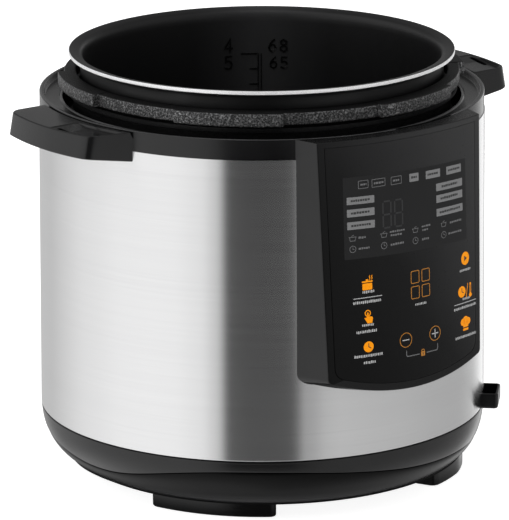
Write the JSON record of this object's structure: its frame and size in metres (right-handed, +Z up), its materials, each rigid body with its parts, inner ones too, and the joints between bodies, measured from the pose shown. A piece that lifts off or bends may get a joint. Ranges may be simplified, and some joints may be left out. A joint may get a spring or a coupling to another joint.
{
  "type": "electric pressure cooker",
  "caption": "Electric pressure cooker without its lid: steel body, bulging touch panel, lift-out pot, bayonet ring, side handles.",
  "frame": {"origin": "on the pot's axis, on the plane that the feet stand on", "axes": "+Z up along the pot's axis, -Y towards the control panel, +X towards the right-hand handle"},
  "size_m": [0.3338, 0.296, 0.27],
  "materials": {
    "black_plastic": "polished black moulding",
    "shelf_plastic": "glossy black band and shelf",
    "foot_plastic": "satin black",
    "steel": "brushed round the body",
    "panel_plastic": "satin gloss black",
    "fascia": "smoked glossy front",
    "nonstick": "black non-stick coat",
    "cast_ring": "granular grey casting",
    "pot_metal": "dark anodised",
    "aluminium": "machined",
    "sheet_steel": "zinc plated sheet",
    "screw_steel": "zinc plated",
    "spring_steel": "drawn wire",
    "silicone": "translucent white silicone",
    "element": "heat-stained tube",
    "contact_brass": "plated",
    "board_green": "green laminate",
    "parts_dark": "moulded electronic parts",
    "cover_plastic": "fine grained black",
    "display_glass": "backlit display block",
    "wire": "heat-proof sleeving"
  },
  "bodies": {
    "cooker": {"base_bowl": "black_plastic", "base_cover": "cover_plastic", "base_screws": "screw_steel", "feet": "foot_plastic", "steel_shell": "steel", "top_ring": "shelf_plastic", "handle_left": "black_plastic", "handle_right": "black_plastic", "handle_screws": "screw_steel", "panel_housing": "panel_plastic", "panel_fascia": "fascia", "spoon_socket": "foot_plastic", "power_inlet": "foot_plastic", "inlet_pins": "contact_brass", "lock_ring": "cast_ring", "outer_pot": "pot_metal", "trough_seal": "silicone", "heating_plate": "aluminium", "heating_element": "element", "plate_screws": "screw_steel", "sensor_spring": "spring_steel", "sensor_guide": "sheet_steel", "switch_bracket": "sheet_steel", "pressure_switch": "parts_dark", "plunger_spring": "spring_steel", "thermal_fuse": "sheet_steel", "heat_shield": "sheet_steel", "support_legs": "sheet_steel", "leg_screws": "screw_steel", "control_board": "board_green", "board_screws": "screw_steel", "display_module": "display_glass", "touch_springs": "spring_steel", "buzzer": "parts_dark", "power_board": "board_green", "power_components": "parts_dark", "power_board_posts": "contact_brass", "wiring_loom": "wire"},
    "pot": {"inner_pot": "nonstick"},
    "sensor": {"sensor_cap": "aluminium"},
    "plunger": {"switch_plunger": "silicone"}
  },
  "joints": [
    {"name": "pot_lift", "type": "slide", "parent": "cooker", "child": "pot", "axis": [0, 0, 1], "range_m": [0, 0.2]},
    {"name": "sensor_travel", "type": "slide", "parent": "cooker", "child": "sensor", "axis": [0, 0, 1], "range_m": [-0.003, 0], "stiffness_N_per_m": 350, "springref_m": 0.003, "deforming": ["sensor_spring"]},
    {"name": "plunger_travel", "type": "slide", "parent": "cooker", "child": "plunger", "axis": [0, 0, 1], "range_m": [-0.0012, 0], "stiffness_N_per_m": 300, "springref_m": 0.0015, "deforming": ["plunger_spring"]}
  ]
}
